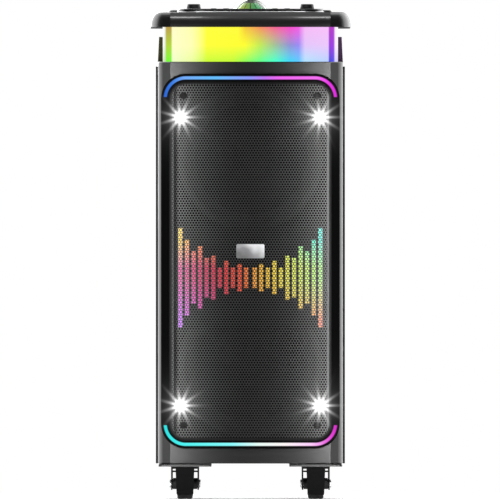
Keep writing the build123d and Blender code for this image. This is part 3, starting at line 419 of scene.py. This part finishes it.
def punched_cell(x, z):
    """Whether the sheet is there at this hole of the pattern."""
    clear = all(math.hypot(x - hx, z - hz) > room for hx, hz, room in lamp_holes)
    depth = inside_rounded(x, z, grille_half, grille_low[2], grille_high[2], grille_corner)
    return clear and depth > rim_width - 0.001


def punch_sheet(name, first_row, last_row, finish):
    """One stretch of the punched field: closed solid sheet with eight-sided holes."""
    mesh = bmesh.new()
    known = {}

    def corner(x, y, z):
        key = (round(x * 1e6), round(y * 1e6), round(z * 1e6))
        if key not in known:
            known[key] = mesh.verts.new((x, y, z))
        return known[key]

    turns = [math.radians(22.5 + 45 * i) for i in range(8)]
    half = pitch / 2
    rise = row_rise / 2
    edge = [(half, -rise), (half, rise), (0, rise), (-half, rise), (-half, -rise), (0, -rise)]
    faces = (
        (7, 0, "01"), (0, 1, "12"), (1, 2, "2"), (2, 3, "23"),
        (3, 4, "34"), (4, 5, "45"), (5, 6, "5"), (6, 7, "50"),
    )
    for row in range(first_row, last_row):
        z = grille_low[2] + rim_width + row_rise * (row + 0.5)
        shift = half * (row % 2)
        for column in range(-31, 32):
            x = column * pitch + shift
            if not punched_cell(x, z):
                continue
            for y, way in ((grille_face, 1), (grille_face + sheet, -1)):
                ring = [
                    corner(x + hole_radius * math.cos(t), y, z + hole_radius * math.sin(t)) for t in turns
                ]
                rim = [corner(x + ex, y, z + ez) for ex, ez in edge]
                for first, second, outer in faces:
                    loop = [ring[second], ring[first]] + [rim[int(i)] for i in outer]
                    mesh.faces.new(loop[::way])
            for i, t in enumerate(turns):
                u = turns[(i + 1) % 8]
                near = [(x + hole_radius * math.cos(a), z + hole_radius * math.sin(a)) for a in (t, u)]
                wall = [
                    corner(near[0][0], grille_face, near[0][1]),
                    corner(near[1][0], grille_face, near[1][1]),
                    corner(near[1][0], grille_face + sheet, near[1][1]),
                    corner(near[0][0], grille_face + sheet, near[0][1]),
                ]
                mesh.faces.new(wall).material_index = 1
    open_edges = [e for e in mesh.edges if e.is_boundary and abs(e.verts[0].co.y - grille_face) < 1e-5]
    for e in open_edges:
        if abs(e.verts[1].co.y - grille_face) > 1e-5:
            continue
        back = [corner(v.co.x, grille_face + sheet, v.co.z) for v in e.verts]
        mesh.faces.new((e.verts[0], e.verts[1], back[1], back[0]))
    bmesh.ops.recalc_face_normals(mesh, faces=mesh.faces)
    data = bpy.data.meshes.new(name)
    mesh.to_mesh(data)
    field = new_piece(name, data, "cabinet", finish)
    data.materials.append(hole_edge.material)
    return field


hole_edge = moulded("hole_edge", 0.001, 0.8, shine=0.05)
powder_coat = Finish("powder_coat", Base_Color=(0.08, 0.08, 0.08), Roughness=0.28, Metallic=1.0)
orange_peel = powder_coat.noise(1400.0, 2.0)
across_grille = powder_coat.axes()[0] / (2 * grille_half) + 0.5
# Painted shade: the powder coat's colour is darker along the grille's left edge, standing in for shade that
# falls there.
painted_left_edge_shade = powder_coat.ramp(across_grille, [(0.045, (0.012, 0.012, 0.012)), (0.06, (0.052, 0.052, 0.052))])
powder_coat.feed(Base_Color=painted_left_edge_shade, Roughness=0.28 + powder_coat.noise(12.0) * 0.05)
powder_coat.bump(orange_peel, 0.00003, 0.15)
rows = int((grille_high[2] - grille_low[2] - 2 * rim_width) / row_rise)
punched = [
    punch_sheet("grille_field_lower", 0, rows // 2, powder_coat),
    punch_sheet("grille_field_upper", rows // 2, rows, powder_coat),
]


def ring_mesh(name, outlines):
    """A ring through a list of outlines of as many points each, closed back on the first."""
    mesh = bmesh.new()
    loops = [[mesh.verts.new(point) for point in outline] for outline in outlines]
    for near, far in zip(loops, loops[1:] + loops[:1]):
        for i in range(len(near)):
            j = (i + 1) % len(near)
            mesh.faces.new((near[i], near[j], far[j], far[i]))
    bmesh.ops.recalc_face_normals(mesh, faces=mesh.faces)
    data = bpy.data.meshes.new(name)
    mesh.to_mesh(data)
    data.shade_smooth()
    data.set_sharp_from_angle(angle=0.6)
    return data


def grille_loop(inset, y):
    """The grille's outline, so far inside its edge and at a depth."""
    points = rounded_outline(
        grille_half - inset, grille_low[2] + inset, grille_high[2] - inset, max(grille_corner - inset, 0.001)
    )
    return [(x, y, z) for x, z in points]


roll = 0.0012
rim_section = [
    grille_loop(0, grille_high[1]),
    grille_loop(0, grille_face + roll),
    grille_loop(roll * 0.3, grille_face + roll * 0.3),
    grille_loop(roll, grille_face - 0.0001),
    grille_loop(rim_width + 0.0012, grille_face - 0.0001),
    grille_loop(rim_width + 0.0012, grille_face + sheet),
    grille_loop(sheet, grille_face + sheet),
    grille_loop(sheet, grille_high[1]),
]
rim_coat = moulded("rim_coat", 0.001, 0.4, shine=0.12)
grille_rim = new_piece("grille_rim", ring_mesh("grille_rim", rim_section), "cabinet", rim_coat)
for part in punched + [grille_rim]:
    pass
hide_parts("grille_panel")

# --- Bezel gasket ---------------------------------------------------------------------
# Strip of black foam round the back of the bezel frame, squeezed between it and the round
# edges of the cabinet, so that no light shows under the frame from the side.
foam = Finish("gasket_foam", Base_Color=(0.001, 0.001, 0.001), Roughness=0.95, Specular_IOR_Level=0.02)
foam.feed(Roughness=0.9 + foam.noise(600.0) * 0.1)
foam.bump(foam.noise(1800.0, 1.0), 0.0002, 0.4)
frame_low, frame_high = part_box("bezel_frame")
gasket_margin = 0.0006
gasket_width = 0.0120
gasket_depth = 0.0045
frame_corner = 0.042


def gasket_loop(inset, y):
    """The bezel frame's outline, so far inside its edge and at a depth."""
    points = rounded_outline(
        frame_high[0] - inset, frame_low[2] + inset, frame_high[2] - inset, frame_corner - inset
    )
    return [(x, y, z) for x, z in points]


gasket_back = frame_high[1] + gasket_depth
gasket_section = [
    gasket_loop(gasket_margin, frame_high[1]), gasket_loop(gasket_width, frame_high[1]),
    gasket_loop(gasket_width, gasket_back), gasket_loop(gasket_margin, gasket_back),
]
gasket = new_piece("bezel_gasket", ring_mesh("bezel_gasket", gasket_section), "cabinet", foam)

# --- Light wave behind the grille -----------------------------------------------------
# Twenty-two light bars on a carrier, whose colours run from violet and red on the left
# through yellow in the middle to green and cyan on the right.
wave_low, wave_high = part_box("wave_light_bars")
wave_middle = (wave_low[2] + wave_high[2]) / 2
wave_half = (wave_high[2] - wave_low[2]) / 2
wave = Finish("wave_glow", Base_Color=(0.02, 0.02, 0.02), Roughness=0.4, Emission_Strength=0.9)
wave_x, _, wave_z = wave.axes()
across = wave_x / (wave_high[0] - wave_low[0]) + 0.5
height = (wave_z - wave_middle) / (2 * wave_half) + 0.5
high_row = wave.ramp(across, [
    (0.00, linear(255, 222, 40)), (0.10, linear(252, 150, 36)), (0.40, linear(255, 170, 40)),
    (0.60, linear(250, 240, 60)), (0.78, linear(190, 255, 90)), (0.90, linear(60, 235, 190)),
    (1.00, linear(60, 240, 220)),
])
middle_row = wave.ramp(across, [
    (0.00, linear(240, 62, 160)), (0.12, linear(230, 42, 120)), (0.30, linear(228, 28, 52)),
    (0.44, linear(246, 84, 26)), (0.55, linear(255, 186, 44)), (0.70, linear(250, 232, 52)),
    (0.88, linear(215, 250, 90)), (1.00, linear(170, 250, 120)),
])
low_row = wave.ramp(across, [
    (0.00, linear(190, 80, 245)), (0.15, linear(205, 60, 200)), (0.32, linear(190, 30, 100)),
    (0.45, linear(220, 60, 40)), (0.60, linear(245, 150, 40)), (0.80, linear(250, 190, 70)),
    (1.00, linear(250, 120, 80)),
])
upper_share = wave.ramp(height, [(0.60, (0, 0, 0)), (0.88, (1, 1, 1))])
lower_share = wave.ramp(height, [(0.05, (1, 1, 1)), (0.50, (0, 0, 0))])
wave.feed(Emission_Color=wave.mix(lower_share, wave.mix(upper_share, middle_row, high_row), low_row))
coat("wave_light_bars", wave)
board_black = moulded("board_black", 0.001, 0.7, shine=0.03)
coat("wave_board", board_black)
coat("front_baffle", moulded("baffle_black", 0.001, 0.9, shine=0.02))

# --- Strobe lamps and grille screws ---------------------------------------------------
# White power lamps behind domed lenses in the grille's corners, each in a thin black ring.
# Their chips are bright enough to flare into stars. Four dark screws hold the grille.
strobe = Finish("strobe_glow", Base_Color=(0.9, 0.9, 0.9), Roughness=0.2, Emission_Strength=60.0)
strobe_x, _, strobe_z = strobe.axes()
strobe_low, strobe_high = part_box("strobe_lamps")
off_x = abs(strobe_x) - (strobe_high[0] - strobe_radius)
strobe_middle = (strobe_low[2] + strobe_high[2]) / 2
off_z = abs(strobe_z - strobe_middle) - ((strobe_high[2] - strobe_low[2]) / 2 - strobe_radius)
from_chip = (off_x * off_x + off_z * off_z).root() / strobe_radius
chip_stops = [(0.0, (1, 1, 1)), (0.24, (1, 1, 1)), (0.30, (0.12, 0.12, 0.12))]
strobe.feed(Emission_Color=strobe.ramp(from_chip, chip_stops))
coat("strobe_lamps", strobe)
coat("grille_screws", moulded("screw_black", 0.001, 0.2, shine=0.1))


def washer(name, x, z, inner, outer, front, back, finish, body="cabinet", sides=40):
    """A round ring that faces the front or the back, with softened edges on that face."""
    soft = (outer - inner) * 0.25
    bevel = front + soft * (1 if back > front else -1)
    section = (
        (inner, back), (inner, bevel), (inner + soft, front),
        (outer - soft, front), (outer, bevel), (outer, back),
    )
    turns = [math.tau * i / sides for i in range(sides)]
    outlines = [[(x + r * math.cos(t), y, z + r * math.sin(t)) for t in turns] for r, y in section]
    return new_piece(name, ring_mesh(name, outlines), body, finish)


ring_black = gloss("ring_gloss", 0.01)
ring_inner = 0.0092
ring_outer = 0.0126
ring_front = grille_face - 0.0012
ring_back = grille_face + 0.001
for number, (x, z, room) in enumerate(lamp_holes[4:]):
    ring = washer(f"strobe_ring_{number}", x, z, ring_inner, ring_outer, ring_front, ring_back, ring_black)

flare = Paint(scene)
flare.tree.nodes.clear()
glow = {"Image": flare.node("CompositorNodeRLayers"), "Threshold": 4.0, "Size": 0.18, "Strength": 0.6}
halo = flare.node("CompositorNodeGlare", {"glare_type": "BLOOM", "quality": "HIGH"}, glow)
rays = {
    "Image": halo, "Threshold": 10.0, "Streaks": 11, "Streaks Angle": 0.3, "Iterations": 3, "Fade": 0.80,
    "Strength": 0.7, "Color Modulation": 0.0,
}
stars = flare.node("CompositorNodeGlare", {"glare_type": "STREAKS", "quality": "HIGH"}, rays)
flare.join(flare.tree.nodes.new("CompositorNodeComposite"), {"Image": stars})

# --- Badge ----------------------------------------------------------------------------
# Small blank plate of brushed aluminium on the grille.
badge = Finish("brushed_badge", Metallic=1.0)
streaks = badge.noise(300.0, 3.0, stretch=(1, 1, 30))
badge_low, badge_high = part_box("badge_plate")
badge_x, _, badge_z = badge.axes()
# Painted sheen: the metal's colour runs from dark at the lower left to light at the upper right, in soft
# blotches, standing in for a reflection on the plate.
along = (badge_x - badge_low[0]) * 0.45 / (badge_high[0] - badge_low[0])
climb = (badge_z - badge_low[2]) * 0.55 / (badge_high[2] - badge_low[2])
sheen = along + climb + (badge.noise(45.0, 1.0) - 0.5) * 0.7
painted_sheen_stops = [(0.15, (0.12, 0.12, 0.12)), (0.45, (0.26, 0.26, 0.27)), (0.85, (0.85, 0.85, 0.86))]
painted_sheen_tone = badge.ramp(sheen, painted_sheen_stops)
badge.feed(Roughness=0.22 + streaks * 0.2, Base_Color=badge.mix(streaks * 0.3, painted_sheen_tone, (0.5, 0.5, 0.51)))
badge.bump(streaks, 0.00002, 0.3)
coat("badge_plate", badge)

# --- Drivers --------------------------------------------------------------------------
# Two woofers with black pulp cones and rubber surrounds, and a horn tweeter between them.
pulp = moulded("cone_pulp", 0.002, 0.9, 0.0002, 0.05)
for node in ("woofer_cone_lower", "woofer_cone_upper"):
    coat(node, pulp)
coat("woofer_surrounds", moulded("surround_rubber", 0.002, 0.8, shine=0.1))
for node in ("woofer_baskets", "tweeter_horn"):
    coat(node, moulded("driver_frame", 0.002, 0.7, shine=0.1))
coat("woofer_magnets", moulded("ferrite", 0.05, 0.6, 0.0001))

# --- Light band -----------------------------------------------------------------------
# Translucent wall under the lid, lit from inside by rows of colour lamps: yellow on the
# left, pink over blue on the right, with a green and a violet edge.
band_low, band_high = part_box("light_band")
band = Finish(
    "band_glow", Base_Color=(0.01, 0.01, 0.01), Roughness=0.3, Specular_IOR_Level=0.02, Emission_Strength=1.0
)
band_x, _, band_z = band.axes()
share = band_x / (2 * band_high[0]) + 0.5
drop = (band_high[2] - band_z) / (band_high[2] - band_low[2])
left_edge = [(0.012, linear(240, 245, 238)), (0.020, linear(190, 160, 75)), (0.048, linear(185, 155, 75))]
top_row = band.ramp(share, left_edge + [
    (0.054, linear(252, 251, 200)), (0.165, linear(253, 253, 175)), (0.250, linear(254, 254, 55)),
    (0.430, linear(253, 250, 52)), (0.470, linear(244, 200, 54)), (0.554, linear(242, 148, 90)),
    (0.640, linear(242, 102, 146)), (0.725, linear(244, 76, 200)), (0.776, linear(241, 90, 228)),
    (0.812, linear(246, 186, 246)), (0.944, linear(246, 192, 248)), (0.950, linear(178, 58, 190)),
    (0.976, linear(182, 60, 205)), (0.984, linear(255, 240, 255)), (1.000, linear(252, 250, 252)),
])
middle_row = band.ramp(share, [
    (0.012, linear(238, 240, 228)), (0.020, linear(180, 212, 55)), (0.048, linear(178, 215, 50)),
    (0.054, linear(254, 254, 200)), (0.165, linear(254, 254, 180)), (0.250, linear(254, 254, 50)),
    (0.468, linear(254, 254, 39)), (0.554, linear(193, 235, 80)), (0.640, linear(160, 192, 149)),
    (0.725, linear(142, 144, 212)), (0.776, linear(152, 136, 244)), (0.812, linear(226, 196, 250)),
    (0.944, linear(234, 198, 250)), (0.950, linear(150, 56, 222)), (0.976, linear(160, 60, 228)),
    (0.984, linear(255, 236, 255)), (1.000, linear(244, 236, 248)),
])
bottom_row = band.ramp(share, [
    (0.012, linear(205, 222, 180)), (0.020, linear(120, 250, 50)), (0.048, linear(116, 250, 50)),
    (0.054, linear(240, 255, 200)), (0.165, linear(236, 254, 160)), (0.250, linear(204, 252, 52)),
    (0.400, linear(196, 252, 54)), (0.468, linear(146, 255, 82)), (0.554, linear(100, 255, 135)),
    (0.640, linear(70, 255, 200)), (0.725, linear(62, 212, 248)), (0.776, linear(90, 198, 255)),
    (0.812, linear(180, 226, 255)), (0.944, linear(186, 208, 255)), (0.950, linear(70, 70, 214)),
    (0.976, linear(84, 80, 235)), (0.984, linear(222, 222, 255)), (1.000, linear(200, 184, 232)),
])
upper_half = band.ramp(drop, [(0.02, (0, 0, 0)), (0.52, (1, 1, 1))])
lower_half = band.ramp(drop, [(0.52, (0, 0, 0)), (0.98, (1, 1, 1))])
band.feed(Emission_Color=band.mix(lower_half, band.mix(upper_half, top_row, middle_row), bottom_row))
coat("light_band", band, 0.3)
coat("band_light_core", moulded("core_white", 0.7, 0.5))

# --- Lid ------------------------------------------------------------------------------
# Glossy black mushroom lid with a pocket for the trolley handle at the back.
coat("lid", gloss("lid_gloss", 0.002, 0.28), 0.5)

# --- Control deck, knobs and buttons --------------------------------------------------
# Raised black plate with a thin bright trim round its foot, two fluted knobs and four keys.
coat("control_deck", gloss("deck_gloss", 0.002, 0.25), 0.5)
knob_grey = moulded("knob_grey", 0.010, 0.42)
for node in ("knob_left", "knob_right"):
    coat(node, knob_grey, 0.4)
key_grey = moulded("key_grey", 0.09, 0.5)
for node in ("button_play", "button_mode", "button_lights", "button_echo", "handle_release"):
    coat(node, key_grey)
coat("control_board", moulded("board_green", 0.03, 0.5))

deck_low, deck_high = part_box("control_deck")
deck_middle = (deck_low[1] + deck_high[1]) / 2
deck_reach = (deck_high[1] - deck_low[1]) / 2
trim_silver = Finish("trim_silver", Base_Color=(0.55, 0.55, 0.56), Metallic=1.0, Roughness=0.3)
trim_silver.feed(Roughness=0.26 + trim_silver.noise(700.0, 2.0, (1, 1, 20)) * 0.12)


deck_corner = 0.040
deck_steps = 14


def deck_loop(outset, z):
    """The deck's outline, so far outside its edge and at a height."""
    reach = deck_reach + outset
    points = rounded_outline(
        deck_high[0] + outset, deck_middle - reach, deck_middle + reach, deck_corner + outset, deck_steps
    )
    return [(x, y, z) for x, y in points]


trim_z = deck_low[2]
deck_trim_section = [
    deck_loop(0.00005, trim_z + 0.0001), deck_loop(0.0012, trim_z + 0.0001),
    deck_loop(0.0016, trim_z + 0.0008), deck_loop(0.0012, trim_z + 0.0016),
    deck_loop(0.00005, trim_z + 0.0019),
]
deck_trim = new_piece("deck_trim", ring_mesh("deck_trim", deck_trim_section), "cabinet", trim_silver)

# --- Lamp dome ------------------------------------------------------------------------
# Smoky clear dome over a turning dark drum. Twelve moulded lenses stand round the drum like
# a skirt, lit yellow on one side and green on the other, and turn with it.
smoky = Finish("smoky_dome", Base_Color=(0.62, 0.70, 0.62), Transmission_Weight=1.0, IOR=1.42)
smoky.feed(Roughness=0.02 + smoky.noise(60.0) * 0.03)
coat("dome_cover", smoky)
dome_low, dome_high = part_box("dome_cover")
dome_y = (dome_low[1] + dome_high[1]) / 2
lens_count = 12
lens_foot = (0.0230, 0.0008)
lens_head = (0.0125, 0.0110)
lens_thick = 0.0013
lens_mesh = bmesh.new()
for number in range(lens_count):
    start = math.tau * number / lens_count
    corners = []
    for radius, rise in (lens_foot, lens_head):
        for turn in (start + 0.05, start + math.tau / lens_count - 0.05):
            for back in (0, lens_thick):
                near = radius - back
                corners.append((near * math.cos(turn), dome_y + near * math.sin(turn), dome_low[2] + rise))
    v = [lens_mesh.verts.new(corner) for corner in corners]
    for face in ((0, 2, 6, 4), (1, 5, 7, 3), (0, 4, 5, 1), (2, 3, 7, 6), (0, 1, 3, 2), (4, 6, 7, 5)):
        lens_mesh.faces.new([v[i] for i in face])
bmesh.ops.recalc_face_normals(lens_mesh, faces=lens_mesh.faces)
bmesh.ops.bevel(lens_mesh, geom=lens_mesh.edges[:], offset=0.0003, segments=2, affect="EDGES")
lens_data = bpy.data.meshes.new("lens_skirt")
lens_mesh.to_mesh(lens_data)
lens = Finish("lens_glow", Base_Color=(0.02, 0.03, 0.02), Roughness=0.15, Emission_Strength=0.7)
lens_x, _, _ = lens.axes()
lens.feed(Emission_Color=lens.ramp(lens_x / (2 * lens_foot[0]) + 0.5, [
    (0.0, linear(236, 232, 90)), (0.35, linear(170, 205, 60)), (0.60, linear(70, 190, 90)),
    (1.0, linear(40, 200, 140)),
]))
lens.bump(lens.noise(900.0, 1.0), 0.0002, 0.4)
lens_skirt = new_piece("lens_skirt", lens_data, "lens_drum", lens)
coat("dome_core", gloss("drum_gloss", 0.02))
coat("dome_motor", moulded("motor_grey", 0.2, 0.4))

# --- Trolley handle -------------------------------------------------------------------
# Black moulded grip on two plated tubes that slide in steel sleeves.
coat("handle_grip", moulded("grip_black", 0.02, 0.45), 0.5)
plated = Finish("plated_tube", Base_Color=(0.6, 0.6, 0.62), Metallic=1.0, Roughness=0.2)
plated.feed(Roughness=0.16 + plated.noise(500.0, 2.0, (1, 1, 0.05)) * 0.1)
coat("handle_tubes", plated)
coat("handle_sleeves", moulded("sleeve_black", 0.02, 0.5))

# --- Rear panel and sockets -----------------------------------------------------------
# Black metal panel with three sockets, a rocker switch and the power inlet.
coat("rear_panel", moulded("panel_black", 0.02, 0.45))
coat("jack_sockets", moulded("socket_black", 0.015, 0.4))
coat("power_inlet", moulded("inlet_black", 0.015, 0.4))
rocker = moulded("rocker_red", 0.05, 0.3)
rocker.feed(Base_Color=rocker.mix(rocker.noise(60.0), (0.42, 0.010, 0.008), (0.52, 0.016, 0.012)))
coat("power_rocker", rocker)

zinc_nut = Finish("nut_zinc", Base_Color=(0.5, 0.5, 0.51), Metallic=1.0, Roughness=0.3)
zinc_nut.feed(Roughness=0.24 + zinc_nut.noise(900.0, 2.0) * 0.16)
jack_low, jack_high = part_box("jack_sockets")
panel_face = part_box("rear_panel")[1][1]
jack_reach = (jack_high[2] - jack_low[2]) / 2
jack_row = (jack_low[2] + jack_high[2]) / 2
jack_spots = {
    "left": jack_low[0] + jack_reach,
    "middle": (jack_low[0] + jack_high[0]) / 2,
    "right": jack_high[0] - jack_reach,
}
nut_hole = jack_reach * 0.72
nut_radius = jack_reach * 1.25
nut_face = panel_face + 0.0022
for name, jack_x in jack_spots.items():
    nut = washer(
        f"jack_nut_{name}", jack_x, jack_row, nut_hole, nut_radius, nut_face, panel_face, zinc_nut, sides=6
    )

cover_low, cover_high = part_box("rear_cover")
cover_screw_black = gloss("cover_screw_black", 0.012, 0.25)
screw_inset = 0.010
screw_rows = 4
head_hole = 0.0011
head_radius = 0.0042
head_face = cover_high[1] + 0.0012
head_foot = cover_high[1] - 0.0004
for row in range(screw_rows):
    screw_rise = cover_high[2] - cover_low[2] - 2 * screw_inset
    screw_z = cover_low[2] + screw_inset + screw_rise * row / (screw_rows - 1)
    for side, side_name in ((-1, "left"), (1, "right")):
        screw_x = side * (cover_high[0] - screw_inset)
        head = washer(
            f"cover_screw_{row}_{side_name}", screw_x, screw_z, head_hole, head_radius,
            head_face, head_foot, cover_screw_black, sides=24
        )

coat("amplifier_board", moulded("amp_green", 0.03, 0.5))
coat("battery_pack", moulded("battery_wrap", 0.05, 0.5))
coat("power_supply", moulded("supply_case", 0.3, 0.4))

# --- Casters --------------------------------------------------------------------------
# Pressed steel forks, painted black, on bare steel plates bolted to the cabinet, with moulded
# grey wheels, zinc bolts and nylon brake levers.
fork_black = moulded("fork_black", 0.0012, 0.5, shine=0.12)
zinc = Finish("zinc", Base_Color=(0.45, 0.45, 0.46), Metallic=1.0, Roughness=0.35)
zinc.feed(Roughness=0.3 + zinc.noise(300.0) * 0.15)
wheel_grey = moulded("wheel_grey", 0.008, 0.6, shine=0.25)
lever_black = moulded("lever_black", 0.0012, 0.6, shine=0.06)
plate_steel = Finish("plate_steel", Base_Color=(0.07, 0.07, 0.07), Metallic=1.0, Roughness=0.4)
plate_steel.feed(Roughness=0.35 + plate_steel.noise(200.0) * 0.15)
coat("caster_plates", plate_steel)
for corner_name in ("front_left", "front_right", "rear_left", "rear_right"):
    coat(f"fork_{corner_name}", fork_black)
    coat(f"axle_{corner_name}", zinc)
    coat(f"wheel_{corner_name}", wheel_grey)
for corner_name in ("front_left", "front_right"):
    coat(f"brake_lever_{corner_name}", lever_black)
